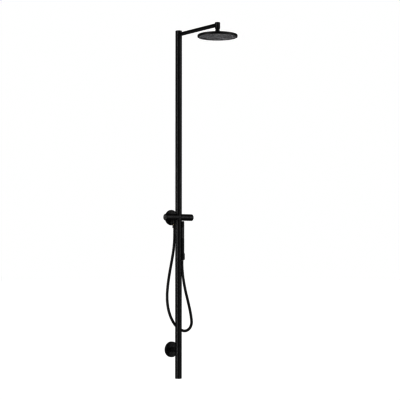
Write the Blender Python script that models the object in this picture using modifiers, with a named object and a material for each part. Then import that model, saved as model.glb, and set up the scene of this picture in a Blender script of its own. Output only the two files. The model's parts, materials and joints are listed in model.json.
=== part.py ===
"""Rainfall shower column: a wall-mounted column with a two-handle mixer bar, an overhead rain head
on an arm, and a stick hand shower on a hose.

Metres, +Z up. The origin is the centre of the mixer inlet's back face, on the wall. The wall is the
plane Y = 0, the user stands on the -Y side, and +X is to the right of somebody who faces the wall.
"""

import math

import bmesh
import bpy
from mathutils import Vector

GAP = 0.0003
COARSE = 10
MEDIUM = 16
ROUND = 28
FINE = 40

# The column and the arm.
WALL_TO_COLUMN = 0.077
COLUMN_RADIUS = 0.0184
COLUMN_BORE = 0.0165
COLUMN_TOP = 1.108
COLUMN_BOTTOM = -0.9455
CAP_THICKNESS = 0.0027
PLUG_RADIUS = 0.0161
PLUG_DEPTH = 0.006
ARM_HEIGHT = 1.086
ARM_RADIUS = 0.010
ARM_BORE = 0.0085
ARM_REACH = 0.382
RISER_RADIUS = 0.007
RISER_BORE = 0.0055

# The mixer bar, which lies along X across the column.
BAR_RADIUS = 0.0185
BAR_HALF_LENGTH = 0.0975
MIXER_HALF_LENGTH = 0.027
MIXER_HALF_HEIGHT = 0.026
SPIGOT_RADIUS = 0.0162
SPIGOT_END = 0.038
INLET_RADIUS = 0.016
CARTRIDGE_CHAMBER = 0.014
SPINDLE_RADIUS = 0.006
SPINDLE_BORE = 0.0066
HANDLE_BORE = 0.016
HANDLE_END_CAP = 0.003
BUTTON_DISTANCE = 0.066
BUTTON_RADIUS = 0.004
BUTTON_TRAVEL = 0.002

# The wall fixings.
ROSETTE_RADIUS = 0.045
ROSETTE_SKIN = 0.0012
UPPER_ROSETTE_DEPTH = 0.008
LOWER_ROSETTE_DEPTH = 0.014
FLANGE_RADIUS = 0.035
FLANGE_THICKNESS = 0.005
LOWER_FIXING_HEIGHT = -0.780
STANDOFF_RADIUS = 0.012
WALL_SCREW_RADIUS = 0.0022

# The hose outlet, under the inlet pipe.
OUTLET_DISTANCE = 0.036
OUTLET_BOSS_END = 0.043
HOSE_NUT_RADIUS = 0.0115
HOSE_NUT_END = 0.0622

# The ball joint and the rain head.
END_BLOCK_RADIUS = 0.014
END_BLOCK_LOW = 1.0622
END_BLOCK_HIGH = 1.099
BALL_HEIGHT = 1.058
BALL_RADIUS = 0.007
SEAT_INNER = 0.0073
SEAT_OUTER = 0.0084
NUT_CAVITY = 0.0087
NUT_RADIUS = 0.011
NUT_OPENING = -0.006
CUP_RADIUS = 0.0114
CUP_RIM = -0.0032
NECK_BORE = 0.0063
NIPPLE_END = -0.0245
HEAD_RADIUS = 0.113
HEAD_LIP_RADIUS = 0.1064
HEAD_FACE_HEIGHT = 1.0160
HEAD_TOP_HEIGHT = 1.0328
HEAD_SKIN = 0.0014
NOZZLE_RINGS = 4
NOZZLE_PITCH = 0.0235
NOZZLE_RADIUS = 0.0015
NOZZLE_SIDES = 6

# The hand shower, which stands behind the bar in a holder on the column.
HAND_X = 0.0495
HAND_Y = -0.044
HAND_RADIUS = 0.012
HAND_BORE = 0.0105
HAND_TOP = -0.022
HAND_BOTTOM = -0.2095
FACE_LOW = -0.124
FACE_HIGH = -0.058
FACE_HALF_WIDTH = 0.008
HAND_NOZZLE_ROWS = 12
HAND_NOZZLE_PITCH = 0.005
HAND_NOZZLE_OFFSET = 0.003
HOLDER_RADIUS = 0.015
HOLDER_HIGH = -0.213
HOLDER_LOW = -0.250
HOLDER_ARM_HEIGHT = -0.2315
CONE_TOP = -0.2101
CONE_END = -0.254
CONE_TOP_RADIUS = 0.012
CONE_END_RADIUS = 0.0085

# The hose hangs from the outlet, passes behind the column and comes up to the hand shower.
HOSE_RADIUS = 0.00725
HOSE_POINT_SPACING = 0.030
HOSE_ROUTE = [
    (0, -0.036, -0.0625),
    (0, -0.036, -0.09),
    (-0.001, -0.036, -0.134),
    (-0.007, -0.036, -0.19),
    (-0.02, -0.036, -0.257),
    (-0.035, -0.036, -0.326),
    (-0.0475, -0.037, -0.3925),
    (-0.0535, -0.037, -0.457),
    (-0.05, -0.037, -0.5145),
    (-0.04, -0.038, -0.558),
    (-0.0165, -0.038, -0.608),
    (0.015, -0.039, -0.646),
    (0.051, -0.039, -0.668),
    (0.074, -0.039, -0.6725),
    (0.0925, -0.04, -0.6685),
    (0.109, -0.04, -0.6565),
    (0.1195, -0.04, -0.6385),
    (0.122, -0.04, -0.6195),
    (0.119, -0.04, -0.5935),
    (0.1095, -0.041, -0.551),
    (0.0935, -0.042, -0.495),
    (0.075, -0.043, -0.435),
    (0.0565, -0.044, -0.353),
    (0.051, -0.044, -0.31),
    (0.0495, -0.044, -0.28),
    (0.0495, -0.044, -0.2545),
]

RIGHT = Vector((1, 0, 0))
LEFT = Vector((-1, 0, 0))
BACK = Vector((0, 1, 0))
FRONT = Vector((0, -1, 0))
UP = Vector((0, 0, 1))
DOWN = Vector((0, 0, -1))

COLUMN_AXIS = Vector((0, -WALL_TO_COLUMN, 0))
HEAD_AXIS = Vector((0, -WALL_TO_COLUMN - ARM_REACH, 0))
BALL_CENTRE = HEAD_AXIS + UP * BALL_HEIGHT
OUTLET_AXIS = Vector((0, -OUTLET_DISTANCE, 0))
LOWER_FIXING = Vector((0, 0, LOWER_FIXING_HEIGHT))
HAND_AXIS = Vector((HAND_X, HAND_Y, 0))

COLOURS = {
    "black_metal": ((0.018, 0.018, 0.019, 1), 0.42, 0.9),
    "black_plastic": ((0.022, 0.022, 0.023, 1), 0.5, 0.0),
    "grey_plastic": ((0.075, 0.075, 0.077, 1), 0.5, 0.0),
    "hose_black": ((0.015, 0.015, 0.016, 1), 0.4, 0.0),
    "silicone": ((0.10, 0.10, 0.105, 1), 0.6, 0.0),
    "brass": ((0.72, 0.53, 0.25, 1), 0.3, 1.0),
    "steel": ((0.60, 0.60, 0.61, 1), 0.3, 1.0),
    "seal_rubber": ((0.03, 0.03, 0.03, 1), 0.8, 0.0),
}


# Scene and shape helpers.


def clear_scene():
    for obj in list(bpy.data.objects):
        bpy.data.objects.remove(obj)


def new_collection(name):
    made = bpy.data.collections.new(name)
    bpy.context.scene.collection.children.link(made)
    return made


def make_material(name):
    colour, roughness, metallic = COLOURS[name]
    made = bpy.data.materials.new(name)
    made.use_nodes = True
    shader = made.node_tree.nodes["Principled BSDF"]
    shader.inputs["Base Color"].default_value = colour
    shader.inputs["Roughness"].default_value = roughness
    shader.inputs["Metallic"].default_value = metallic
    return made


clear_scene()
PARTS = new_collection("rainfall_shower_column")
CUTTERS = new_collection("cutters")
MATERIALS = {name: make_material(name) for name in COLOURS}


def add_object(name, mesh, at, direction, material):
    """Links an object whose local +Z lies along direction. Without a material it is a hidden tool."""
    obj = bpy.data.objects.new(name, mesh)
    obj.location = at
    obj.rotation_mode = "QUATERNION"
    obj.rotation_quaternion = UP.rotation_difference(direction)
    if material:
        obj.data.materials.append(MATERIALS[material])
        PARTS.objects.link(obj)
    else:
        obj.hide_render = True
        obj.display_type = "WIRE"
        CUTTERS.objects.link(obj)
    return obj


def turned(name, outline, at, direction, material=None, steps=ROUND):
    """A solid turned about direction. Its outline of (radius, distance along the axis) runs down its
    outer side from the far end to the near end, and closes on the axis or on itself."""
    mesh = bpy.data.meshes.new(name)
    points = [(radius, 0, distance) for radius, distance in outline]
    edges = [(i, i + 1) for i in range(len(points) - 1)]
    if outline[0][0] > 0:
        edges.append((len(points) - 1, 0))
    mesh.from_pydata(points, edges, [])
    obj = add_object(name, mesh, at, direction, material)
    screw = obj.modifiers.new("Screw", "SCREW")
    screw.steps = steps
    screw.render_steps = steps
    screw.use_merge_vertices = True
    screw.merge_threshold = 0.00001
    screw.use_smooth_shade = False
    return obj


def rod(radius, near, far):
    return [(0, far), (radius, far), (radius, near), (0, near)]


def pipe(outer, inner, near, far):
    return [(outer, far), (outer, near), (inner, near), (inner, far)]


def arc(radius, first, last, steps=5):
    """Points of a circle about the ball centre, from one height to another."""
    start = math.asin(first / radius)
    end = math.asin(last / radius)
    turns = [start + (end - start) * i / steps for i in range(steps + 1)]
    return [(radius * math.cos(turn), radius * math.sin(turn)) for turn in turns]


def block(name, low, high, at, material=None):
    mesh = bpy.data.meshes.new(name)
    cube = bmesh.new()
    bmesh.ops.create_cube(cube, size=1)
    size = [high[i] - low[i] for i in range(3)]
    bmesh.ops.scale(cube, vec=size, verts=cube.verts)
    middle = [(high[i] + low[i]) / 2 for i in range(3)]
    bmesh.ops.translate(cube, vec=middle, verts=cube.verts)
    cube.to_mesh(mesh)
    cube.free()
    return add_object(name, mesh, at, UP, material)


def boolean(obj, other, operation):
    modifier = obj.modifiers.new(other.name, "BOOLEAN")
    modifier.operation = operation
    modifier.object = other
    modifier.solver = "EXACT"


def cut(obj, *cutters):
    for cutter in cutters:
        boolean(obj, cutter, "DIFFERENCE")


def join(obj, *others):
    for other in others:
        boolean(obj, other, "UNION")


def drill(name, radius, near, far, at, direction, steps=COARSE):
    return turned(name, rod(radius, near, far), at, direction, steps=steps)


def bundle(name, radius, near, far, places, direction, sides):
    """One hidden tool that holds a rod at each place, for the nozzles and their holes."""
    mesh = bpy.data.meshes.new(name)
    rods = bmesh.new()
    turn = UP.rotation_difference(direction).to_matrix().to_4x4()
    for place in places:
        made = bmesh.ops.create_cone(
            rods, cap_ends=True, segments=sides, radius1=radius, radius2=radius, depth=far - near
        )
        bmesh.ops.transform(rods, matrix=turn, verts=made["verts"])
        centre = Vector(place) + direction * (near + far) / 2
        bmesh.ops.translate(rods, vec=centre, verts=made["verts"])
    rods.to_mesh(mesh)
    rods.free()
    return add_object(name, mesh, (0, 0, 0), UP, None)


# The wall fixings.


def wall_screw(name, x, z):
    head_near = FLANGE_THICKNESS + GAP
    outline = [
        (0, head_near + 0.0015),
        (0.0045, head_near + 0.0015),
        (0.0045, head_near),
        (WALL_SCREW_RADIUS, head_near),
        (WALL_SCREW_RADIUS, GAP),
        (0, GAP),
    ]
    turned(name, outline, Vector((x, 0, z)), FRONT, "steel", COARSE)


def screw_holes(name, places):
    hole = WALL_SCREW_RADIUS + 0.0004
    return bundle(name, hole, -0.01, 0.02, [(x, 0, z) for x, z in places], FRONT, COARSE)


def rosette(name, height, depth, hole):
    outline = [
        (hole, depth),
        (ROSETTE_RADIUS - 0.001, depth),
        (ROSETTE_RADIUS, depth - 0.001),
        (ROSETTE_RADIUS, GAP),
        (ROSETTE_RADIUS - ROSETTE_SKIN, GAP),
        (ROSETTE_RADIUS - ROSETTE_SKIN, depth - ROSETTE_SKIN),
        (hole, depth - ROSETTE_SKIN),
    ]
    turned(name, outline, Vector((0, 0, height)), FRONT, "black_metal", FINE)


def make_inlet():
    """The flange on the wall with its hot and cold ports, the inlet pipe and the check valves."""
    origin = Vector((0, 0, 0))
    nose_end = 0.020
    outline = [
        (0, nose_end),
        (0.014, nose_end),
        (0.014, FLANGE_THICKNESS),
        (FLANGE_RADIUS, FLANGE_THICKNESS),
        (FLANGE_RADIUS, 0),
        (0, 0),
    ]
    base = turned("wall_inlet_base", outline, origin, FRONT, "brass", MEDIUM)
    port_x = 0.0075
    ports = [(-port_x, 0, 0), (port_x, 0, 0)]
    cut(base, bundle("port_drills", 0.0045, -0.01, 0.03, ports, FRONT, COARSE))
    circle = [math.radians(angle) for angle in (90, 210, 330)]
    places = [(0.026 * math.cos(angle), 0.026 * math.sin(angle)) for angle in circle]
    cut(base, screw_holes("inlet_screw_holes", places))
    for number, (x, z) in enumerate(places, 1):
        wall_screw(f"inlet_screw_{number}", x, z)
    for name, x in (("hot_check_valve", -port_x), ("cold_check_valve", port_x)):
        turned(name, pipe(0.0042, 0.002, 0.006, 0.018), Vector((x, 0, 0)), FRONT, "black_plastic", COARSE)
    rosette("upper_rosette", 0, UPPER_ROSETTE_DEPTH, INLET_RADIUS + 0.0004)

    stub_end = WALL_TO_COLUMN - 0.024
    outline = [
        (0, stub_end + 0.007),
        (0.0076, stub_end + 0.007),
        (0.0076, stub_end - GAP),
        (INLET_RADIUS, stub_end - GAP),
        (INLET_RADIUS, FLANGE_THICKNESS + GAP),
        (0, FLANGE_THICKNESS + GAP),
    ]
    body = turned("inlet_pipe", outline, origin, FRONT, "black_metal")
    boss = rod(0.010, 0.002, OUTLET_BOSS_END)
    join(body, turned("outlet_boss", boss, OUTLET_AXIS, DOWN, steps=MEDIUM))
    cut(
        body,
        drill("inlet_socket", 0.0144, 0, nose_end + 0.0015, origin, FRONT, MEDIUM),
        drill("inlet_bore", 0.005, 0.01, stub_end + 0.01, origin, FRONT),
        drill("outlet_bore", 0.0055, 0, OUTLET_BOSS_END + 0.01, OUTLET_AXIS, DOWN),
    )


def make_lower_fixing():
    """The wall plate, rosette and standoff that hold the bottom of the column."""
    boss_end = 0.022
    outline = [
        (0, boss_end),
        (0.0097, boss_end),
        (0.0097, FLANGE_THICKNESS),
        (FLANGE_RADIUS, FLANGE_THICKNESS),
        (FLANGE_RADIUS, 0),
        (0, 0),
    ]
    plate = turned("lower_wall_plate", outline, LOWER_FIXING, FRONT, "steel", MEDIUM)
    places = [(-0.024, LOWER_FIXING_HEIGHT), (0.024, LOWER_FIXING_HEIGHT)]
    cut(plate, screw_holes("lower_screw_holes", places))
    for number, (x, z) in enumerate(places, 1):
        wall_screw(f"lower_wall_screw_{number}", x, z)
    rosette("lower_rosette", LOWER_FIXING_HEIGHT, LOWER_ROSETTE_DEPTH, STANDOFF_RADIUS + 0.0004)

    socket_end = boss_end + 0.0005
    outline = [
        (0, 0.064),
        (STANDOFF_RADIUS, 0.064),
        (STANDOFF_RADIUS, FLANGE_THICKNESS + GAP),
        (0.010, FLANGE_THICKNESS + GAP),
        (0.010, socket_end),
        (0, socket_end),
    ]
    standoff = turned("lower_standoff", outline, LOWER_FIXING, FRONT, "black_metal", MEDIUM)
    cut(standoff, column_saddle("standoff_saddle"))
    join(standoff, drill("standoff_stud", 0.004, 0.050, 0.066, LOWER_FIXING, FRONT))
    grub = LOWER_FIXING + FRONT * 0.018
    cut(standoff, drill("standoff_grub_hole", 0.0023, 0.005, 0.02, grub, DOWN))
    turned("lower_grub_screw", rod(0.002, 0.0100, 0.0119), grub, DOWN, "steel", COARSE)


def column_saddle(name):
    """A cutter that follows the outside of the column, with the usual gap."""
    return drill(name, COLUMN_RADIUS + GAP, -1.0, 0.01, COLUMN_AXIS, UP, ROUND)


# The mixer bar.


def make_mixer_body():
    body = turned(
        "mixer_body",
        rod(BAR_RADIUS, -MIXER_HALF_LENGTH, MIXER_HALF_LENGTH),
        COLUMN_AXIS,
        RIGHT,
        "black_metal",
    )
    upright = [
        (0, SPIGOT_END),
        (SPIGOT_RADIUS, SPIGOT_END),
        (SPIGOT_RADIUS, MIXER_HALF_HEIGHT),
        (COLUMN_RADIUS, MIXER_HALF_HEIGHT),
        (COLUMN_RADIUS, -MIXER_HALF_HEIGHT),
        (SPIGOT_RADIUS, -MIXER_HALF_HEIGHT),
        (SPIGOT_RADIUS, -SPIGOT_END),
        (0, -SPIGOT_END),
    ]
    join(
        body,
        turned("mixer_upright", upright, COLUMN_AXIS, UP),
        turned("mixer_inlet_stub", rod(INLET_RADIUS, 0, 0.024), COLUMN_AXIS, BACK),
    )
    chamber_near = 0.004
    chamber_far = MIXER_HALF_LENGTH + 0.001
    cut(
        body,
        drill("right_chamber", CARTRIDGE_CHAMBER, chamber_near, chamber_far, COLUMN_AXIS, RIGHT, MEDIUM),
        drill("left_chamber", CARTRIDGE_CHAMBER, chamber_near, chamber_far, COLUMN_AXIS, LEFT, MEDIUM),
        drill("riser_socket", RISER_RADIUS + 0.0004, 0.010, 0.040, COLUMN_AXIS, UP),
        drill("mixer_inlet_bore", 0.008, 0.003, 0.030, COLUMN_AXIS, BACK),
    )


def make_control(side, cartridge, handle):
    """The cartridge with its nut, and the handle with its spindle and insert, on one side of the bar."""
    sleeve = [
        (0, 0.012),
        (SPINDLE_BORE, 0.012),
        (SPINDLE_BORE, 0.031),
        (0.0095, 0.031),
        (0.0095, 0.020),
        (0.0136, 0.020),
        (0.0136, 0.0045),
        (0, 0.0045),
    ]
    turned(f"{cartridge}_cartridge", sleeve, COLUMN_AXIS, side, "black_plastic", COARSE)
    nut = pipe(0.0136, 0.0099, 0.0203, 0.030)
    turned(f"{cartridge}_nut", nut, COLUMN_AXIS, side, "brass", COARSE)
    turned(f"{handle}_spindle", rod(SPINDLE_RADIUS, 0.0125, 0.050), COLUMN_AXIS, side, "brass", COARSE)
    insert = pipe(0.0155, SPINDLE_BORE, 0.0315, 0.0505)
    turned(f"{handle}_insert", insert, COLUMN_AXIS, side, "black_plastic", COARSE)
    shell_end = BAR_HALF_LENGTH - HANDLE_END_CAP
    shell = pipe(BAR_RADIUS, HANDLE_BORE, MIXER_HALF_LENGTH + 0.0005, shell_end)
    shell = turned(f"{handle}_shell", shell, COLUMN_AXIS, side, "black_metal")
    cap = [
        (0, BAR_HALF_LENGTH),
        (BAR_RADIUS - 0.001, BAR_HALF_LENGTH),
        (BAR_RADIUS, BAR_HALF_LENGTH - 0.001),
        (BAR_RADIUS, shell_end + GAP),
        (HANDLE_BORE - GAP, shell_end + GAP),
        (HANDLE_BORE - GAP, shell_end - 0.007),
        (0, shell_end - 0.007),
    ]
    turned(f"{handle}_cap", cap, COLUMN_AXIS, side, "black_metal")
    return shell


def make_safety_button(shell):
    """The stop that a thumb presses to turn the temperature handle past 38 degrees."""
    centre = COLUMN_AXIS + RIGHT * BUTTON_DISTANCE
    cut(shell, drill("button_hole", BUTTON_RADIUS + GAP, 0.010, 0.03, centre, FRONT, MEDIUM))
    face = BAR_RADIUS + BUTTON_TRAVEL
    flange_far = HANDLE_BORE - 0.0015
    outline = [
        (0, face),
        (BUTTON_RADIUS, face),
        (BUTTON_RADIUS, flange_far),
        (0.0055, flange_far),
        (0.0055, flange_far - 0.002),
        (0, flange_far - 0.002),
    ]
    turned("safety_button", outline, centre, FRONT, "black_plastic", MEDIUM)


# The column and its arm.


def make_column():
    upper = pipe(COLUMN_RADIUS, COLUMN_BORE, MIXER_HALF_HEIGHT + GAP, COLUMN_TOP - CAP_THICKNESS - GAP)
    tube = turned("upper_column_tube", upper, COLUMN_AXIS, UP, "black_metal")
    arm_axis = COLUMN_AXIS + UP * ARM_HEIGHT
    cut(
        tube,
        drill("arm_hole", ARM_RADIUS + GAP, 0.005, 0.03, arm_axis, FRONT, MEDIUM),
        drill("column_grub_hole", 0.0025, 0.005, 0.03, arm_axis, BACK),
    )
    low = COLUMN_BOTTOM + CAP_THICKNESS + GAP
    lower = pipe(COLUMN_RADIUS, COLUMN_BORE, low, -MIXER_HALF_HEIGHT - GAP)
    tube = turned("lower_column_tube", lower, COLUMN_AXIS, UP, "black_metal")
    fixing = COLUMN_AXIS + UP * LOWER_FIXING_HEIGHT
    cut(
        tube,
        drill("column_stud_hole", 0.0043, 0.005, 0.03, fixing, BACK),
        drill("column_holder_hole", 0.0028, 0.005, 0.03, *holder_line()),
    )
    column_cap("upper_column_cap", COLUMN_TOP, UP)
    column_cap("lower_column_cap", -COLUMN_BOTTOM, DOWN)
    riser = pipe(RISER_RADIUS, RISER_BORE, 0.0145, 1.0735)
    turned("inner_riser_pipe", riser, COLUMN_AXIS, UP, "brass", COARSE)

    socket = turned("arm_socket", rod(0.0158, 1.068, 1.0985), COLUMN_AXIS, UP, "brass", MEDIUM)
    riser_seat = 1.074
    riser_bore = [
        (0, ARM_HEIGHT),
        (0.004, ARM_HEIGHT),
        (0.004, riser_seat),
        (RISER_RADIUS + 0.0004, riser_seat),
        (RISER_RADIUS + 0.0004, 1.060),
        (0, 1.060),
    ]
    cut(
        socket,
        turned("socket_riser_bore", riser_bore, COLUMN_AXIS, UP, steps=COARSE),
        drill("socket_arm_bore", ARM_RADIUS + GAP, -0.006, 0.03, arm_axis, FRONT, MEDIUM),
        drill("socket_grub_bore", 0.0025, 0.003, 0.03, arm_axis, BACK),
    )
    turned("arm_grub_screw", rod(0.0022, 0.0085, 0.0178), arm_axis, BACK, "steel", COARSE)
    arm = pipe(ARM_RADIUS, ARM_BORE, -0.0055, ARM_REACH - 0.005)
    turned("shower_arm", arm, arm_axis, FRONT, "black_metal", MEDIUM)


def column_cap(name, end, direction):
    """A flat end cap with a plug that fits the bore of the column."""
    plate = end - CAP_THICKNESS
    outline = [
        (0, end),
        (COLUMN_RADIUS - 0.0006, end),
        (COLUMN_RADIUS, end - 0.0006),
        (COLUMN_RADIUS, plate),
        (PLUG_RADIUS, plate),
        (PLUG_RADIUS, plate - PLUG_DEPTH),
        (0, plate - PLUG_DEPTH),
    ]
    turned(name, outline, COLUMN_AXIS, direction, "black_metal")


# The ball joint and the rain head.


def make_end_block():
    outline = [
        (0, END_BLOCK_HIGH),
        (END_BLOCK_RADIUS - 0.001, END_BLOCK_HIGH),
        (END_BLOCK_RADIUS, END_BLOCK_HIGH - 0.001),
        (END_BLOCK_RADIUS, END_BLOCK_LOW + 0.0028),
        (END_BLOCK_RADIUS - 0.0028, END_BLOCK_LOW),
        (0.0084, END_BLOCK_LOW),
        (0.0084, BALL_HEIGHT + 0.0085),
        (0, BALL_HEIGHT + 0.0085),
    ]
    made = turned("arm_end_block", outline, HEAD_AXIS, UP, "black_metal")
    arm_axis = HEAD_AXIS + UP * ARM_HEIGHT
    seat = 0.0046
    socket = [
        (0, 0.03),
        (ARM_RADIUS + GAP, 0.03),
        (ARM_RADIUS + GAP, seat),
        (0.0035, seat),
        (0.0035, -0.0013),
        (0, -0.0013),
    ]
    cut(
        made,
        turned("block_arm_socket", socket, arm_axis, BACK, steps=MEDIUM),
        drill("block_water_bore", 0.004, 1.05, ARM_HEIGHT + 0.002, HEAD_AXIS, UP),
    )


def make_ball_joint():
    """The nut that holds the ball, the seal and seat in it, and the nipple with the ball."""
    nut_top = END_BLOCK_LOW - GAP - BALL_HEIGHT
    nut = [
        (NUT_RADIUS - 0.0008, nut_top),
        (NUT_RADIUS, nut_top - 0.0008),
        *arc(NUT_RADIUS, 0, NUT_OPENING),
        *arc(NUT_CAVITY, NUT_OPENING, 0),
        (NUT_CAVITY, nut_top),
    ]
    turned("swivel_nut", nut, BALL_CENTRE, UP, "black_metal")
    ring = [
        (0.0052 + 0.001 * math.cos(turn), 0.0066 + 0.001 * math.sin(turn))
        for turn in (math.radians(-60 * i) for i in range(6))
    ]
    turned("ball_seal", ring, BALL_CENTRE, UP, "seal_rubber", COARSE)
    seat = [*arc(SEAT_OUTER, 0.002, -0.0045), *arc(SEAT_INNER, -0.0045, 0.002)]
    turned("ball_seat", seat, BALL_CENTRE, UP, "black_plastic", MEDIUM)
    neck = 0.0035
    ball_foot = -math.sqrt(BALL_RADIUS**2 - neck**2)
    ball = arc(BALL_RADIUS, 0.0062, ball_foot, 8)
    shank = NECK_BORE - GAP
    nipple = [
        *ball,
        (neck, -0.013),
        (shank, -0.013),
        (shank, NIPPLE_END),
        (0.002, NIPPLE_END),
        (0.002, 0.0062),
    ]
    turned("ball_nipple", nipple, BALL_CENTRE, UP, "black_metal", MEDIUM)


def nozzle_places(height):
    """A centre nozzle and rings of 6, 12, 18 and so on around it, at an even pitch."""
    places = [(HEAD_AXIS.x, HEAD_AXIS.y, height)]
    for ring in range(1, NOZZLE_RINGS + 1):
        for index in range(6 * ring):
            angle = math.tau * index / (6 * ring)
            x = HEAD_AXIS.x + ring * NOZZLE_PITCH * math.cos(angle)
            y = HEAD_AXIS.y + ring * NOZZLE_PITCH * math.sin(angle)
            places.append((x, y, height))
    return places


def make_head_collar():
    """A cup under the nut that flares out to the head, so the joint stays covered as it tilts."""
    foot = HEAD_TOP_HEIGHT + GAP - BALL_HEIGHT
    cup_floor = -math.sqrt(CUP_RADIUS**2 - NECK_BORE**2)
    outline = [
        (0.0118, CUP_RIM),
        (0.0122, -0.009),
        (0.0134, -0.0155),
        (0.0160, -0.0215),
        (0.0170, foot),
        (NECK_BORE, foot),
        *arc(CUP_RADIUS, cup_floor, CUP_RIM),
    ]
    turned("head_collar", outline, BALL_CENTRE, UP, "black_metal")


def make_head_shell():
    top = HEAD_TOP_HEIGHT
    face = HEAD_FACE_HEIGHT
    skin = HEAD_SKIN
    outline = [
        (0.005, top),
        (0.030, top - 0.0004),
        (HEAD_RADIUS - 0.008, top - 0.0030),
        (HEAD_RADIUS - 0.001, top - 0.0042),
        (HEAD_RADIUS, top - 0.0052),
        (HEAD_RADIUS, face + 0.0008),
        (HEAD_RADIUS - 0.0008, face),
        (HEAD_LIP_RADIUS, face),
        (HEAD_LIP_RADIUS, face + skin),
        (HEAD_RADIUS - skin, face + skin),
        (HEAD_RADIUS - skin, top - 0.0060),
        (HEAD_RADIUS - 0.009, top - 0.0030 - skin),
        (0.030, top - 0.0004 - skin),
        (0.005, top - skin),
    ]
    turned("head_top_shell", outline, HEAD_AXIS, UP, "black_metal", FINE)


def make_spray_face():
    """The plate over the lip of the shell, and the soft mat whose nozzles come through its holes."""
    plate_low = HEAD_FACE_HEIGHT + HEAD_SKIN + GAP
    plate_high = plate_low + 0.0014
    plate = rod(0.1105, plate_low, plate_high)
    plate = turned("head_spray_plate", plate, HEAD_AXIS, UP, "grey_plastic", FINE)
    mat_low = plate_high + GAP
    mat = rod(0.108, mat_low, mat_low + 0.0014)
    mat = turned("head_nozzle_mat", mat, HEAD_AXIS, UP, "silicone", FINE)
    places = nozzle_places(0)
    hole = NOZZLE_RADIUS + 0.0004
    cut(plate, bundle("nozzle_holes", hole, HEAD_FACE_HEIGHT, mat_low, places, UP, NOZZLE_SIDES))
    low = HEAD_FACE_HEIGHT - 0.0002
    high = mat_low + 0.0007
    join(mat, bundle("nozzles", NOZZLE_RADIUS, low, high, places, UP, NOZZLE_SIDES))


# The hand shower, its holder and the hose.


def holder_line():
    """A point on the column axis and the way from it to the hand shower, at the holder's height."""
    start = COLUMN_AXIS + UP * HOLDER_ARM_HEIGHT
    return start, (HAND_AXIS - COLUMN_AXIS).normalized()


def make_holder():
    cup = rod(HOLDER_RADIUS, HOLDER_LOW, HOLDER_HIGH)
    holder = turned("hand_shower_holder", cup, HAND_AXIS, UP, "black_metal", MEDIUM)
    start, way = holder_line()
    reach = (HAND_AXIS - COLUMN_AXIS).length
    slope = (CONE_TOP_RADIUS - CONE_END_RADIUS) / (CONE_TOP - CONE_END)
    play = 0.0004
    high = CONE_TOP + 0.01
    low = CONE_END - 0.01
    cone = [
        (0, high),
        (CONE_TOP_RADIUS + 0.01 * slope + play, high),
        (CONE_END_RADIUS - 0.01 * slope + play, low),
        (0, low),
    ]
    slot_low = (0, -0.008, HOLDER_LOW - 0.01)
    slot_high = (0.03, 0.008, HOLDER_HIGH + 0.01)
    join(holder, drill("holder_arm", 0.006, 0.010, reach - 0.012, start, way, MEDIUM))
    cut(
        holder,
        turned("holder_cone", cone, HAND_AXIS, UP, steps=ROUND),
        block("holder_slot", slot_low, slot_high, HAND_AXIS),
        column_saddle("holder_saddle"),
        drill("holder_screw_bore", 0.0028, 0.010, reach - 0.009, start, way),
        drill("holder_head_bore", 0.0043, reach - 0.0135, reach - 0.008, start, way),
    )
    screw = [
        (0, reach - 0.0112),
        (0.004, reach - 0.0112),
        (0.004, reach - 0.0132),
        (0.0025, reach - 0.0132),
        (0.0025, 0.012),
        (0, 0.012),
    ]
    turned("holder_screw", screw, start, way, "steel", COARSE)


def make_hand_shower():
    body = turned(
        "hand_shower_tube",
        pipe(HAND_RADIUS, HAND_BORE, HAND_BOTTOM, HAND_TOP - 0.002),
        HAND_AXIS,
        UP,
        "black_metal",
    )
    window_low = (-FACE_HALF_WIDTH, -0.02, FACE_LOW)
    window_high = (FACE_HALF_WIDTH, -0.004, FACE_HIGH)
    cut(body, block("face_window", window_low, window_high, HAND_AXIS))
    plug = HAND_BORE - GAP
    cap = [
        (0, HAND_TOP),
        (HAND_RADIUS - 0.0008, HAND_TOP),
        (HAND_RADIUS, HAND_TOP - 0.0008),
        (HAND_RADIUS, HAND_TOP - 0.002 + GAP),
        (plug, HAND_TOP - 0.002 + GAP),
        (plug, HAND_TOP - 0.010),
        (0, HAND_TOP - 0.010),
    ]
    turned("hand_shower_cap", cap, HAND_AXIS, UP, "black_metal")
    core = [
        (0.0048, -0.040),
        (0.0048, -0.130),
        (plug, -0.130),
        (plug, -0.1965),
        (0.0032, -0.1965),
        (0.0032, -0.040),
    ]
    turned("hand_shower_core", core, HAND_AXIS, UP, "black_plastic", COARSE)
    nipple = [
        (plug, -0.197),
        (plug, HAND_BOTTOM),
        (0.009, HAND_BOTTOM),
        (0.009, -0.222),
        (0.004, -0.222),
        (0.004, -0.197),
    ]
    turned("hand_shower_nipple", nipple, HAND_AXIS, UP, "brass", COARSE)
    washer = pipe(0.009, 0.004, -0.2243, -0.2223)
    turned("hand_shower_washer", washer, HAND_AXIS, UP, "seal_rubber", COARSE)

    half = FACE_HALF_WIDTH - GAP
    low, high = FACE_LOW + GAP, FACE_HIGH - GAP
    plate_low = (-half, -0.0098, low)
    plate_high = (half, -0.0083, high)
    plate = block("hand_spray_plate", plate_low, plate_high, HAND_AXIS, "grey_plastic")
    strip_low = (-0.0068, -0.0080, low + 0.0015)
    strip_high = (0.0068, -0.0058, high - 0.0015)
    strip = block("hand_nozzle_strip", strip_low, strip_high, HAND_AXIS, "silicone")
    middle = (FACE_LOW + FACE_HIGH) / 2
    first = middle - HAND_NOZZLE_PITCH * (HAND_NOZZLE_ROWS - 1) / 2
    places = [
        (HAND_X + offset, HAND_Y, first + HAND_NOZZLE_PITCH * row)
        for row in range(HAND_NOZZLE_ROWS)
        for offset in (-HAND_NOZZLE_OFFSET, HAND_NOZZLE_OFFSET)
    ]
    cut(plate, bundle("hand_nozzle_holes", 0.0012, 0.0081, 0.012, places, FRONT, NOZZLE_SIDES))
    join(strip, bundle("hand_nozzles", 0.0008, 0.0070, 0.0106, places, FRONT, NOZZLE_SIDES))


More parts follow.
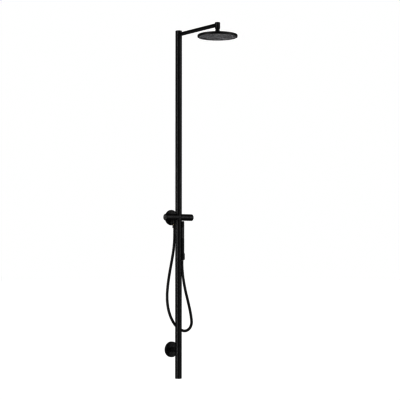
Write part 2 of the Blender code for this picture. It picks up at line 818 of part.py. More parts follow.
def make_hose_fittings():
    """The nipple and washer under the inlet pipe, and the nuts on both ends of the hose."""
    boss = OUTLET_BOSS_END
    nipple = [
        (0.009, boss + 0.009),
        (0.009, boss + GAP),
        (0.0052, boss + GAP),
        (0.0052, boss - 0.010),
        (0.0035, boss - 0.010),
        (0.0035, boss + 0.009),
    ]
    turned("hose_outlet_nipple", nipple, OUTLET_AXIS, DOWN, "brass", COARSE)
    washer = pipe(0.009, 0.004, boss + 0.0093, boss + 0.0113)
    turned("hose_outlet_washer", washer, OUTLET_AXIS, DOWN, "seal_rubber", COARSE)
    nut_near = boss + 0.0006
    nut = [
        (HOSE_NUT_RADIUS - 0.001, HOSE_NUT_END),
        (HOSE_NUT_RADIUS, HOSE_NUT_END - 0.001),
        (HOSE_NUT_RADIUS, nut_near),
        (0.0093, nut_near),
        (0.0093, boss + 0.0116),
        (0.0050, boss + 0.0116),
        (0.0050, HOSE_NUT_END),
    ]
    turned("hose_outlet_nut", nut, OUTLET_AXIS, DOWN, "black_metal", MEDIUM)
    cone = [
        (CONE_TOP_RADIUS, CONE_TOP),
        (CONE_END_RADIUS, CONE_END),
        (0.0048, CONE_END),
        (0.0048, -0.2246),
        (0.0093, -0.2246),
        (0.0093, CONE_TOP),
    ]
    turned("hose_cone_nut", cone, HAND_AXIS, UP, "black_metal", MEDIUM)


def smooth_curve(route, spacing):
    """Points about spacing apart on a smooth curve through the route (centripetal Catmull-Rom)."""
    points = [Vector(point) for point in route]
    points = [2 * points[0] - points[1], *points, 2 * points[-1] - points[-2]]
    made = []
    for i in range(1, len(points) - 2):
        around = points[i - 1 : i + 3]
        knots = [0.0]
        for a, b in zip(around, around[1:]):
            knots.append(knots[-1] + (b - a).length ** 0.5)
        count = max(1, round((around[2] - around[1]).length / spacing))
        for step in range(count):
            at = knots[1] + (knots[2] - knots[1]) * step / count
            made.append(catmull_rom(around, knots, at))
    return [*made, points[-2]]


def between(a, b, first, last, at):
    """The point on the line through a at first and b at last."""
    share = (at - first) / (last - first)
    return a * (1 - share) + b * share


def catmull_rom(points, knots, at):
    thirds = [between(points[i], points[i + 1], knots[i], knots[i + 1], at) for i in range(3)]
    halves = [between(thirds[i], thirds[i + 1], knots[i], knots[i + 2], at) for i in range(2)]
    return between(halves[0], halves[1], knots[1], knots[2], at)


def make_hose():
    curve = bpy.data.curves.new("shower_hose", "CURVE")
    curve.dimensions = "3D"
    curve.bevel_depth = HOSE_RADIUS
    curve.bevel_resolution = 2
    curve.use_fill_caps = True
    points = smooth_curve(HOSE_ROUTE, HOSE_POINT_SPACING)
    spline = curve.splines.new("POLY")
    spline.points.add(len(points) - 1)
    for place, point in zip(spline.points, points):
        place.co = (*point, 1)
    curve.materials.append(MATERIALS["hose_black"])
    hose = bpy.data.objects.new("shower_hose", curve)
    PARTS.objects.link(hose)


def shade_round_pieces():
    """Applies each part's modifiers and shades it smooth with sharp corners kept."""
    bpy.context.view_layer.update()
    graph = bpy.context.evaluated_depsgraph_get()
    parts = [obj for obj in PARTS.objects if obj.type == "MESH"]
    meshes = [bpy.data.meshes.new_from_object(obj.evaluated_get(graph)) for obj in parts]
    for obj, mesh in zip(parts, meshes):
        obj.modifiers.clear()
        obj.data = mesh
        mesh.shade_smooth()
        mesh.set_sharp_from_angle(angle=math.radians(35))


make_inlet()
make_lower_fixing()
make_mixer_body()
temperature_shell = make_control(RIGHT, "thermostat", "temperature_handle")
make_safety_button(temperature_shell)
make_control(LEFT, "diverter", "diverter_handle")
make_column()
make_end_block()
make_ball_joint()
make_head_collar()
make_head_shell()
make_spray_face()
make_holder()
make_hand_shower()
make_hose_fittings()
make_hose()
shade_round_pieces()
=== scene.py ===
"""The looks of the rainfall shower column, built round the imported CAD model.

Every place and size comes from the boxes of the CAD nodes. Distances are in metres, with +Z up, the
wall at Y = 0 and the user on the -Y side.
"""

import json
import math

import bmesh
import bpy
import numpy as np
from mathutils import Matrix, Vector


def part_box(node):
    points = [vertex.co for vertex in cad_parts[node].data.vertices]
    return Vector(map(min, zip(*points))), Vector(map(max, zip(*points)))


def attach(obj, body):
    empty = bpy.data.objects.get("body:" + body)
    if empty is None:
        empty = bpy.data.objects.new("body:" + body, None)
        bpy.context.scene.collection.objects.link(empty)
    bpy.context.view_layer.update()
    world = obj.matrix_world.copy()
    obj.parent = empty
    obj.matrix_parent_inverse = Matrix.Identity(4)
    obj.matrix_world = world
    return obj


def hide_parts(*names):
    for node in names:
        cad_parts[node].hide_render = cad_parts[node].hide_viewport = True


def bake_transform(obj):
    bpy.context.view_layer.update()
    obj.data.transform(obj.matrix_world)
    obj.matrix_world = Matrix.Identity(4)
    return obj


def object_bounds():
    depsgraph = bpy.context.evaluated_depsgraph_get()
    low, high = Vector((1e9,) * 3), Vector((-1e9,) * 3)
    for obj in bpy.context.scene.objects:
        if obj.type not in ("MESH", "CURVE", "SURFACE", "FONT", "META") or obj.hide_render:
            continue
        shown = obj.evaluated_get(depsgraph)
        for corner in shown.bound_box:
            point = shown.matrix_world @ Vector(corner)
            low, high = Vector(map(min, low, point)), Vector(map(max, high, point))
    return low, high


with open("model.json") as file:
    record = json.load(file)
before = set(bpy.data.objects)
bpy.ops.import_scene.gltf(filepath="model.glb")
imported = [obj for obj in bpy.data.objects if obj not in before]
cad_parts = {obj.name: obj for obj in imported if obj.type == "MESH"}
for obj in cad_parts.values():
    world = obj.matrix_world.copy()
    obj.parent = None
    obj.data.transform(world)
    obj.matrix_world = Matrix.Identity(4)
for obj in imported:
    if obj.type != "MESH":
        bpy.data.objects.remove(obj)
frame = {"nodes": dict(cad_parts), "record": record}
CAD_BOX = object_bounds()

NODE_SLOT = {part["node"]: part["material_slot"] for part in frame["record"]["subparts"]}
JOINTS = {joint["name"]: joint for joint in frame["record"]["behaviour"]["joints"]}
BALL_CENTRE = Vector(JOINTS["head_tilt_x"]["pos_m"])
NODE_BODY = {
    node: body
    for body, nodes in frame["record"]["behaviour"]["bodies"].items()
    for node in nodes
}

RIGHT = Vector((1, 0, 0))
LEFT = Vector((-1, 0, 0))
BACK = Vector((0, 1, 0))
FRONT = Vector((0, -1, 0))
UP = Vector((0, 0, 1))
DOWN = Vector((0, 0, -1))

GAP = 0.0003
SADDLE_GAP = 0.00015
ROUND_STEPS = 96
SMALL_STEPS = 48
NUT_FLUTES = 28
MIXER_FILLET = 0.004
NOZZLE_RINGS = 11
NOZZLE_PITCH = 0.0092
NOZZLE_RADIUS = 0.0015
HAND_NOZZLE_ROWS = 12
HAND_NOZZLE_PITCH = 0.005
HAND_NOZZLE_OFFSET = 0.003
FLOOR_RADIUS = 30
FLOOR_GLOW = 1.02
STUDIO_MIDDLE = 0.1
DISPLAY_GAMMA = 0.5


# Camera, floor and light.

CAMERA_AT = Vector((-4.065, -5.818, -0.206))
CAMERA_LOOKS = Vector((0.5919, 0.8048, 0.04383))
CAMERA_LENS = 107.27
FLOOR_BELOW = 0.12


def make_camera():
    lens = bpy.data.cameras.new("camera")
    lens.lens = CAMERA_LENS
    lens.sensor_width = 36
    lens.clip_end = 100
    camera = bpy.data.objects.new("camera", lens)
    camera.location = CAMERA_AT
    camera.rotation_mode = "QUATERNION"
    camera.rotation_quaternion = CAMERA_LOOKS.to_track_quat("-Z", "Y")
    bpy.context.scene.collection.objects.link(camera)
    bpy.context.scene.camera = camera


make_camera()


# Mesh helpers.


def box(node):
    low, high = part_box(node)
    return Vector(low), Vector(high)


def middle(node):
    low, high = box(node)
    return (low + high) / 2


def width(node, axis=0):
    low, high = box(node)
    return high[axis] - low[axis]


def radius_of(node, along):
    """Half the node's greater width across its axis."""
    return max(width(node, axis) for axis in range(3) if axis != along) / 2


def rounded(outline, radius, steps=4):
    """The outline with each corner off the axis replaced by a curve."""
    closed = outline[0][0] > 0
    points = [Vector(point) for point in outline]
    made = []
    for i, corner in enumerate(points):
        at_end = i in (0, len(points) - 1)
        if corner.x <= 0 or (at_end and not closed):
            made.append(corner)
            continue
        before = points[i - 1] - corner
        after = points[(i + 1) % len(points)] - corner
        reach = min(radius, 0.48 * before.length, 0.48 * after.length)
        start = corner + before.normalized() * reach
        end = corner + after.normalized() * reach
        for step in range(steps + 1):
            t = step / steps
            made.append(start * (1 - t) ** 2 + corner * 2 * t * (1 - t) + end * t**2)
    return [tuple(point) for point in made]


def lathe(outline, at, direction, steps=ROUND_STEPS):
    """A mesh turned about direction from points of (radius, distance along the axis). The outline runs
    down its outer side from the far end, and closes on the axis or on itself."""
    turn = UP.rotation_difference(direction).to_matrix()
    work = bmesh.new()
    rings = []
    for radius, distance in outline:
        if radius <= 0:
            rings.append([work.verts.new(at + turn @ Vector((0, 0, distance)))])
            continue
        ring = []
        for step in range(steps):
            angle = math.tau * step / steps
            place = Vector((radius * math.cos(angle), radius * math.sin(angle), distance))
            ring.append(work.verts.new(at + turn @ place))
        rings.append(ring)
    pairs = list(zip(rings, rings[1:]))
    if outline[0][0] > 0:
        pairs.append((rings[-1], rings[0]))
    for upper, lower in pairs:
        if len(upper) == 1 and len(lower) == 1:
            continue
        for step in range(steps):
            after = (step + 1) % steps
            corners = [
                upper[step % len(upper)],
                lower[step % len(lower)],
                lower[after % len(lower)],
                upper[after % len(upper)],
            ]
            work.faces.new(list(dict.fromkeys(corners)))
    return work


def rod(radius, near, far):
    return [(0, far), (radius, far), (radius, near), (0, near)]


def pipe(outer, inner, near, far):
    return [(outer, far), (outer, near), (inner, near), (inner, far)]


def mesh_of(work, name="work"):
    mesh = bpy.data.meshes.new(name)
    work.to_mesh(mesh)
    work.free()
    return mesh


def merged(*works):
    """One bmesh that holds all of these."""
    whole = bmesh.new()
    for work in works:
        whole.from_mesh(mesh_of(work))
    return whole


def carved(work, cutters, operation="DIFFERENCE"):
    """The mesh after a Boolean with each cutter."""
    scene = bpy.context.scene.collection
    body = bpy.data.objects.new("carved", mesh_of(work))
    scene.objects.link(body)
    tools = []
    for cutter in cutters:
        tool = bpy.data.objects.new("cutter", mesh_of(cutter))
        scene.objects.link(tool)
        tools.append(tool)
        modifier = body.modifiers.new("Boolean", "BOOLEAN")
        modifier.operation = operation
        modifier.object = tool
        modifier.solver = "EXACT"
    bpy.context.view_layer.update()
    graph = bpy.context.evaluated_depsgraph_get()
    made = bmesh.new()
    made.from_mesh(body.evaluated_get(graph).to_mesh())
    for obj in (body, *tools):
        bpy.data.objects.remove(obj)
    return made


def rounded_slab(half_width, low, high, corner, front, back, steps=8):
    """A plate that faces -Y, with round corners in its outline. Low and high are its ends along Z."""
    work = bmesh.new()
    loop = []
    for quarter, (x, z) in enumerate(
        ((half_width, high), (-half_width, high), (-half_width, low), (half_width, low))
    ):
        cx = x - math.copysign(corner, x)
        cz = z - corner if quarter < 2 else z + corner
        for step in range(steps + 1):
            angle = math.pi / 2 * (quarter + step / steps)
            loop.append((cx + corner * math.cos(angle), cz + corner * math.sin(angle)))
    face = work.faces.new([work.verts.new((x, front, z)) for x, z in loop])
    pushed = bmesh.ops.extrude_face_region(work, geom=[face])
    moved = [v for v in pushed["geom"] if isinstance(v, bmesh.types.BMVert)]
    bmesh.ops.translate(work, vec=(0, back - front, 0), verts=moved)
    bmesh.ops.recalc_face_normals(work, faces=work.faces)
    return work


def smooth_union(distances, blend):
    """The smallest of the distances, with a fillet where two are close."""
    result = distances[0]
    for other in distances[1:]:
        overlap = np.maximum(blend - np.abs(result - other), 0) / blend
        result = np.minimum(result, other) - overlap**2 * blend / 4
    return result


def fused(works, distance, voxel, planes):
    """Joins meshes with soft inner corners: remeshed, laid on the surface where distance is zero, and
    cut flat at each plane of (point, outward normal)."""
    body = bpy.data.objects.new("fused", mesh_of(merged(*works)))
    bpy.context.scene.collection.objects.link(body)
    remesh = body.modifiers.new("Remesh", "REMESH")
    remesh.mode = "VOXEL"
    remesh.voxel_size = voxel
    bpy.context.view_layer.update()
    graph = bpy.context.evaluated_depsgraph_get()
    work = bmesh.new()
    work.from_mesh(body.evaluated_get(graph).to_mesh())
    bpy.data.objects.remove(body)
    places = np.array([vertex.co for vertex in work.verts])
    step = 1e-5
    for _ in range(6):
        here = distance(places)
        slope = np.stack(
            [(distance(places + step * axis) - here) / step for axis in np.eye(3)], axis=1
        )
        places = places - slope * (here / np.maximum((slope**2).sum(1), 1e-9))[:, None]
    for vertex, place in zip(work.verts, places):
        vertex.co = place
    for point, normal in planes:
        everything = work.verts[:] + work.edges[:] + work.faces[:]
        cut = bmesh.ops.bisect_plane(
            work, geom=everything, plane_co=point, plane_no=normal, clear_outer=True
        )
        edges = [item for item in cut["geom_cut"] if isinstance(item, bmesh.types.BMEdge)]
        bmesh.ops.edgeloop_fill(work, edges=edges)
    bmesh.ops.recalc_face_normals(work, faces=work.faces)
    return work


def radial(places, point, axis):
    """Each place's distance from the line through point along axis."""
    offset = places - np.array(point)
    along = offset @ np.array(axis)
    return np.linalg.norm(offset - along[:, None] * np.array(axis), axis=1)


# Materials.


class Shader:
    """A Principled material with short calls for its nodes."""

    def __init__(self, name, roughness=0.5, metallic=0.0, specular=0.5):
        self.material = bpy.data.materials.new(name)
        self.material.use_nodes = True
        self.nodes = self.material.node_tree.nodes
        self.links = self.material.node_tree.links
        self.shader = self.nodes["Principled BSDF"]
        self.shader.inputs["Roughness"].default_value = roughness
        self.shader.inputs["Metallic"].default_value = metallic
        self.shader.inputs["Specular IOR Level"].default_value = specular
        self.coords = self.nodes.new("ShaderNodeTexCoord").outputs["Object"]

    def noise(self, scale, detail=3.0, stretch=None):
        node = self.nodes.new("ShaderNodeTexNoise")
        node.inputs["Scale"].default_value = scale
        node.inputs["Detail"].default_value = detail
        coords = self.coords
        if stretch:
            mapping = self.nodes.new("ShaderNodeMapping")
            mapping.inputs["Scale"].default_value = stretch
            self.links.new(coords, mapping.inputs["Vector"])
            coords = mapping.outputs["Vector"]
        self.links.new(coords, node.inputs["Vector"])
        return node.outputs["Fac"]

    def ramp(self, value, low, high, first, last):
        """Maps value from low..high onto first..last, held at the ends."""
        node = self.nodes.new("ShaderNodeMapRange")
        node.inputs["From Min"].default_value = low
        node.inputs["From Max"].default_value = high
        node.inputs["To Min"].default_value = first
        node.inputs["To Max"].default_value = last
        self.links.new(value, node.inputs["Value"])
        return node.outputs["Result"]

    def mix(self, share, first, last):
        node = self.nodes.new("ShaderNodeMix")
        node.data_type = "RGBA"
        for socket, colour in ((node.inputs[6], first), (node.inputs[7], last)):
            if isinstance(colour, tuple):
                socket.default_value = (*colour, 1)
            else:
                self.links.new(colour, socket)
        self.links.new(share, node.inputs[0])
        return node.outputs[2]

    def pointiness(self):
        return self.nodes.new("ShaderNodeNewGeometry").outputs["Pointiness"]

    def colour(self, value):
        self.links.new(value, self.shader.inputs["Base Color"])

    def roughness(self, value):
        self.links.new(value, self.shader.inputs["Roughness"])

    def bump(self, height, strength, distance):
        node = self.nodes.new("ShaderNodeBump")
        node.inputs["Strength"].default_value = strength
        node.inputs["Distance"].default_value = distance
        self.links.new(height, node.inputs["Height"])
        self.links.new(node.outputs["Normal"], self.shader.inputs["Normal"])


def black_metal():
    """Matte black powder coat: fine orange peel, faint handling marks, and edges a little paler as a
    painted highlight.
    """
    made = Shader("matte_black_metal", specular=0.45)
    cloud = made.ramp(made.noise(22, 4), 0.35, 0.7, 0, 1)
    base = made.mix(cloud, (0.0105, 0.0105, 0.0112), (0.0150, 0.0150, 0.0156))
    # Painted highlight: edges made paler by pointiness, standing in for light caught on the bevels.
    edge_highlight = made.ramp(made.pointiness(), 0.53, 0.62, 0, 0.35)
    made.colour(made.mix(edge_highlight, base, (0.05, 0.05, 0.051)))
    made.roughness(made.ramp(made.noise(60, 5), 0.3, 0.75, 0.36, 0.46))
    made.bump(made.noise(1500, 2), 0.12, 0.0002)
    return made.material


def black_plastic():
    made = Shader("satin_black_plastic", specular=0.4)
    cloud = made.noise(35, 3)
    made.colour(made.mix(cloud, (0.016, 0.016, 0.017), (0.024, 0.024, 0.025)))
    made.roughness(made.ramp(made.noise(140, 4), 0.3, 0.7, 0.42, 0.55))
    made.bump(made.noise(2400, 2), 0.08, 0.0001)
    return made.material


def hose_skin():
    made = Shader("black_hose", specular=0.45)
    cloud = made.ramp(made.noise(30, 4), 0.3, 0.7, 0, 1)
    base = made.mix(cloud, (0.010, 0.010, 0.0105), (0.016, 0.016, 0.0165))
    # Painted highlight: rib crests made paler by pointiness, standing in for light caught on the ribs.
    crest_highlight = made.ramp(made.pointiness(), 0.52, 0.60, 0, 0.4)
    made.colour(made.mix(crest_highlight, base, (0.045, 0.045, 0.046)))
    made.roughness(made.ramp(made.noise(120, 4), 0.3, 0.7, 0.34, 0.46))
    made.bump(made.noise(2000, 2), 0.06, 0.0001)
    return made.material


def grey_plastic():
    made = Shader("satin_grey_plastic", specular=0.2)
    cloud = made.noise(45, 3)
    made.colour(made.mix(cloud, (0.098, 0.098, 0.100), (0.124, 0.124, 0.127)))
    made.roughness(made.ramp(made.noise(160, 4), 0.3, 0.7, 0.62, 0.75))
    made.bump(made.noise(2400, 2), 0.08, 0.0001)
    return made.material


def silicone():
    made = Shader("grey_silicone", specular=0.2)
    cloud = made.noise(80, 3)
    made.colour(made.mix(cloud, (0.034, 0.034, 0.035), (0.050, 0.050, 0.052)))
    made.roughness(made.ramp(made.noise(300, 3), 0.3, 0.7, 0.68, 0.82))
    made.bump(made.noise(3000, 2), 0.1, 0.0001)
    return made.material


def brass():
    made = Shader("machined_brass", metallic=1.0)
    lines = made.noise(40, 2, stretch=(1, 1, 60))
    made.colour(made.mix(lines, (0.62, 0.43, 0.17), (0.78, 0.59, 0.30)))
    made.roughness(made.ramp(lines, 0.2, 0.8, 0.22, 0.38))
    made.bump(lines, 0.1, 0.0002)
    return made.material


def steel():
    made = Shader("plain_steel", metallic=1.0)
    lines = made.noise(50, 2, stretch=(40, 1, 1))
    made.colour(made.mix(lines, (0.50, 0.50, 0.51), (0.66, 0.66, 0.67)))
    made.roughness(made.ramp(lines, 0.2, 0.8, 0.25, 0.42))
    made.bump(lines, 0.1, 0.0002)
    return made.material


def seal_rubber():
    made = Shader("seal_rubber", specular=0.3)
    cloud = made.noise(90, 3)
    made.colour(made.mix(cloud, (0.016, 0.016, 0.016), (0.030, 0.030, 0.030)))
    made.roughness(made.ramp(made.noise(400, 3), 0.3, 0.7, 0.65, 0.85))
    made.bump(made.noise(1800, 2), 0.15, 0.0001)
    return made.material


MATERIALS = {
    "black_metal": black_metal(),
    "black_plastic": black_plastic(),
    "grey_plastic": grey_plastic(),
    "hose_black": hose_skin(),
    "silicone": silicone(),
    "brass": brass(),
    "steel": steel(),
    "seal_rubber": seal_rubber(),
}


def dress_cad_nodes():
    """Gives every CAD node the material of its slot."""
    for name, obj in frame["nodes"].items():
        obj.data.materials.clear()
        obj.data.materials.append(MATERIALS[NODE_SLOT[name]])


def piece(name, work, node, sharp=38, riding=True):
    """Makes a finished piece that stands for a CAD node, on its body and in its material."""
    bmesh.ops.recalc_face_normals(work, faces=work.faces)
    obj = bpy.data.objects.new(name, mesh_of(work, name))
    bpy.context.scene.collection.objects.link(obj)
    obj.data.materials.append(MATERIALS[NODE_SLOT[node]])
    obj.data.shade_smooth()
    obj.data.set_sharp_from_angle(angle=math.radians(sharp))
    weighted = obj.modifiers.new("WeightedNormal", "WEIGHTED_NORMAL")
    weighted.keep_sharp = True
    if riding:
        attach(obj, NODE_BODY[node])
    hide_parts(node)
    return obj


# The hose comes first, because its place has to agree with the CAD tube.

HOSE_DIAMETER = 0.0145
HOSE_RIB_PITCH = 0.0036
HOSE_RIB_DEPTH = 0.00045
HOSE_SIDES = 28
CONE_END_RADIUS = 0.0085
HOSE_ROUTE = [
    (0, -0.036, -0.0625),
    (0, -0.036, -0.09),
    (-0.001, -0.036, -0.134),
    (-0.007, -0.036, -0.19),
    (-0.02, -0.036, -0.257),
    (-0.035, -0.036, -0.326),
    (-0.0475, -0.037, -0.3925),
    (-0.0535, -0.037, -0.457),
    (-0.05, -0.037, -0.5145),
    (-0.04, -0.038, -0.558),
    (-0.0165, -0.038, -0.608),
    (0.015, -0.039, -0.646),
    (0.051, -0.039, -0.668),
    (0.074, -0.039, -0.6725),
    (0.0925, -0.04, -0.6685),
    (0.109, -0.04, -0.6565),
    (0.1195, -0.04, -0.6385),
    (0.122, -0.04, -0.6195),
    (0.119, -0.04, -0.5935),
    (0.1095, -0.041, -0.551),
    (0.0935, -0.042, -0.495),
    (0.075, -0.043, -0.435),
    (0.0565, -0.044, -0.353),
    (0.051, -0.044, -0.31),
    (0.0495, -0.044, -0.28),
    (0.0495, -0.044, -0.2545),
]


def between(a, b, first, last, at):
    """The point on the line through a at first and b at last."""
    share = (at - first) / (last - first)
    return a * (1 - share) + b * share


def catmull_rom(points, knots, at):
    thirds = [between(points[i], points[i + 1], knots[i], knots[i + 1], at) for i in range(3)]
    halves = [between(thirds[i], thirds[i + 1], knots[i], knots[i + 2], at) for i in range(2)]
    return between(halves[0], halves[1], knots[1], knots[2], at)


def smooth_curve(route, spacing):
    """Points about spacing apart on a smooth curve through the route."""
    points = [Vector(point) for point in route]
    points = [2 * points[0] - points[1], *points, 2 * points[-1] - points[-2]]
    made = []
    for i in range(1, len(points) - 2):
        around = points[i - 1 : i + 3]
        knots = [0.0]
        for a, b in zip(around, around[1:]):
            knots.append(knots[-1] + (b - a).length ** 0.5)
        count = max(1, round((around[2] - around[1]).length / spacing))
        for step in range(count):
            at = knots[1] + (knots[2] - knots[1]) * step / count
            made.append(catmull_rom(around, knots, at))
    return [*made, points[-2]]


def even_points(points, spacing):
    """The same line with its points at one even spacing, and its whole length."""
    lengths = [0.0]
    for a, b in zip(points, points[1:]):
        lengths.append(lengths[-1] + (b - a).length)
    count = round(lengths[-1] / spacing)
    wanted = np.linspace(0, lengths[-1], count + 1)
    places = np.array(points)
    columns = [np.interp(wanted, lengths, places[:, axis]) for axis in range(3)]
    return [Vector(place) for place in zip(*columns)], lengths[-1]


def swept(points, radius_at, sides):
    """A round tube along points, whose radius at each point comes from radius_at(index)."""
    work = bmesh.new()
    tangents = []
    for i in range(len(points)):
        ahead = points[min(i + 1, len(points) - 1)]
        behind = points[max(i - 1, 0)]
        tangents.append((ahead - behind).normalized())
    side = tangents[0].orthogonal().normalized()
    rings = []
    for i, point in enumerate(points):
        side = (side - tangents[i] * side.dot(tangents[i])).normalized()
        other = tangents[i].cross(side)
        ring = []
        for step in range(sides):
            angle = math.tau * step / sides
            out = side * math.cos(angle) + other * math.sin(angle)
            ring.append(work.verts.new(point + out * radius_at(i)))
        rings.append(ring)
    for near, far in zip(rings, rings[1:]):
        for step in range(sides):
            after = (step + 1) % sides
            work.faces.new([near[step], near[after], far[after], far[step]])
    work.faces.new(rings[0][::-1])
    work.faces.new(rings[-1])
    return work


def make_hose():
    """A spiral-wound hose skin: round ribs with a narrow groove between them."""
    curve = smooth_curve(HOSE_ROUTE, 0.002)
    per_rib = 6
    points, length = even_points(curve, HOSE_RIB_PITCH / per_rib)
    relief = [0.0, 0.55, 0.92, 1.0, 0.92, 0.55]
    radius = HOSE_DIAMETER / 2
    plain = 6

    def radius_at(index):
        if index < plain or index > len(points) - 1 - plain:
            return radius - HOSE_RIB_DEPTH
        return radius - HOSE_RIB_DEPTH * (1 - relief[index % per_rib])

    tube = swept(points, radius_at, HOSE_SIDES)
    return piece("shower_hose_skin", tube, "shower_hose", 60, False), points, length


def make_outlet_nut():
    """The swivel nut under the outlet, with a grip of fine flutes between two plain collars."""
    low, high = box("hose_outlet_nut")
    at = middle("hose_outlet_nut")
    at.z = low.z
    outer = radius_of("hose_outlet_nut", 2)
    tall = high.z - low.z
    seat = tall - 0.011
    outline = [
        (outer, tall),
        (outer, 0.0),
        (0.0050, 0.0),
        (0.0050, seat),
        (0.0093, seat),
        (0.0093, tall),
    ]
    flutes = []
    for index in range(NUT_FLUTES):
        angle = math.tau * index / NUT_FLUTES
        out = Vector((math.cos(angle), math.sin(angle), 0))
        flute = rounded(rod(0.0006, 0.004, tall - 0.004), 0.0005)
        flutes.append(lathe(flute, at + out * (outer + 0.0002), UP, 10))
    nut = carved(lathe(rounded(outline, 0.0007), at, UP), [merged(*flutes)])
    return piece("outlet_nut_fluted", nut, "hose_outlet_nut")


def make_cone_nut():
    """The conical nut that rests in the holder, drawn right up to the hand shower."""
    low, high = box("hose_cone_nut")
    at = middle("hose_cone_nut")
    at.z = low.z
    tall = box("hand_shower_tube")[0].z - 0.0002 - low.z
    wide = radius_of("hose_cone_nut", 2)
    seat = 0.0294
    outline = [
        (wide, tall),
        (wide, high.z - low.z),
        (CONE_END_RADIUS, 0.0),
        (0.0074, 0.0),
        (0.0048, 0.003),
        (0.0048, seat),
        (0.0093, seat),
        (0.0093, tall),
    ]
    return piece("cone_nut_smooth", lathe(rounded(outline, 0.0007), at, UP), "hose_cone_nut")


def lay_hose():
    """The hose hangs between the outlet and the hand shower: the two nuts are made first, then the hose,
    which is baked in place and rides on no body.
    """
    nuts = [make_outlet_nut(), make_cone_nut()]
    hose, points, length = make_hose()
    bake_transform(hose)


HAND_X = middle("hand_shower_tube").x
lay_hose()


# The wall fixings.

COLUMN_AXIS = Vector((0, middle("upper_column_tube").y, 0))


def make_rosette(name, node, hole):
    """A thin spun cover with a soft rim."""
    low, high = box(node)
    centre = middle(node)
    at = Vector((centre.x, high.y, centre.z))
    outer = radius_of(node, 1)
    deep = high.y - low.y
    skin = 0.0012
    outline = [
        (hole, deep),
        (outer - 0.0016, deep),
        (outer, deep - 0.0016),
        (outer, 0.0),
        (outer - skin, 0.0),
        (outer - skin, deep - 0.0024),
        (outer - 0.0024, deep - skin),
        (hole, deep - skin),
    ]
    piece(name, lathe(rounded(outline, 0.0010, 5), at, FRONT), node)


def make_inlet_pipe():
    """The pipe from the wall to the mixer, with the hose outlet boss under it."""
    low, high = box("inlet_pipe")
    near, far = -high.y, -low.y
    outer = width("inlet_pipe", 0) / 2
    socket = 0.0215
    outline = [
        (0.005, far),
        (0.0076, far),
        (0.0076, far - 0.0073),
        (outer, far - 0.0073),
        (outer, near),
        (0.0144, near),
        (0.0144, socket),
        (0.005, socket),
    ]
    main = lathe(rounded(outline, 0.0005), Vector((0, 0, 0)), FRONT)
    outlet = Vector((0, middle("hose_outlet_nut").y, 0))
    boss_radius = 0.010
    boss = lathe(rounded(rod(boss_radius, 0.006, -low.z), 0.0008), outlet, DOWN)
    joined = carved(main, [boss], "UNION")
    bore = lathe(rod(0.0055, 0.0, 0.06), outlet, DOWN, SMALL_STEPS)
    piece("inlet_pipe_and_boss", carved(joined, [bore]), "inlet_pipe")


def make_standoff():
    """The stub from the lower rosette to the column, with its end shaped to the column."""
    at = Vector((0, 0, middle("lower_standoff").z))
    near = -box("lower_standoff")[1].y
    far = 0.066
    outer = width("lower_standoff", 0) / 2
    socket_radius = 0.010
    socket = 0.0225
    outline = [
        (0, far),
        (outer, far),
        (outer, near),
        (socket_radius, near),
        (socket_radius, socket),
        (0, socket),
    ]
    column = lathe(rod(radius_of("upper_column_tube", 2) + SADDLE_GAP, -1, 0.01), COLUMN_AXIS, UP)
    body = carved(lathe(outline, at, FRONT), [column])
    piece("standoff_saddled", body, "lower_standoff")


make_rosette("upper_rosette_spun", "upper_rosette", 0.0164)
make_rosette("lower_rosette_spun", "lower_rosette", 0.0124)
make_inlet_pipe()
make_standoff()


# The mixer bar.

BAR_RADIUS = radius_of("temperature_handle_shell", 0)
MIXER_HALF = width("mixer_body", 0) / 2
SPIGOT_RADIUS = 0.0162
CHAMBER_RADIUS = 0.014
RISER_SOCKET = 0.0074
INLET_BORE = 0.008


def make_mixer_body():
    """The cross of bar, column and inlet stub, drawn as one casting with small soft inner corners."""
    high = box("mixer_body")[1]
    column_radius = radius_of("upper_column_tube", 2)
    stub_radius = width("inlet_pipe", 0) / 2
    half_height = box("upper_column_tube")[0].z - GAP
    stub_end = high.y - COLUMN_AXIS.y
    longer = 0.003
    rough = [
        lathe(rod(BAR_RADIUS, -MIXER_HALF - longer, MIXER_HALF + longer), COLUMN_AXIS, RIGHT),
        lathe(rod(column_radius, -half_height - longer, half_height + longer), COLUMN_AXIS, UP),
        lathe(rod(stub_radius, 0, stub_end + longer), COLUMN_AXIS, BACK),
    ]

    def distance(places):
        behind = places[:, 1] - COLUMN_AXIS.y
        stub_distance = np.maximum(radial(places, COLUMN_AXIS, BACK) - stub_radius, -behind)
        distances = [
            radial(places, COLUMN_AXIS, RIGHT) - BAR_RADIUS,
            radial(places, COLUMN_AXIS, UP) - column_radius,
            stub_distance,
        ]
        return smooth_union(distances, MIXER_FILLET)

    planes = [
        (COLUMN_AXIS + RIGHT * MIXER_HALF, RIGHT),
        (COLUMN_AXIS + LEFT * MIXER_HALF, LEFT),
        (COLUMN_AXIS + UP * half_height, UP),
        (COLUMN_AXIS + DOWN * half_height, DOWN),
        (COLUMN_AXIS + BACK * stub_end, BACK),
    ]
    body = fused(rough, distance, 0.0008, planes)
    spigots = [lathe(rod(SPIGOT_RADIUS, 0.020, high.z), COLUMN_AXIS, way) for way in (UP, DOWN)]
    body = carved(body, spigots, "UNION")
    bores = [
        lathe(rod(CHAMBER_RADIUS, 0.004, MIXER_HALF + 0.001), COLUMN_AXIS, RIGHT, SMALL_STEPS),
        lathe(rod(CHAMBER_RADIUS, 0.004, MIXER_HALF + 0.001), COLUMN_AXIS, LEFT, SMALL_STEPS),
        lathe(rod(RISER_SOCKET, 0.010, high.z + 0.001), COLUMN_AXIS, UP, SMALL_STEPS),
        lathe(rod(INLET_BORE, 0.003, stub_end + 0.001), COLUMN_AXIS, BACK, SMALL_STEPS),
    ]
    piece("mixer_body_cast", carved(body, bores), "mixer_body", 50)


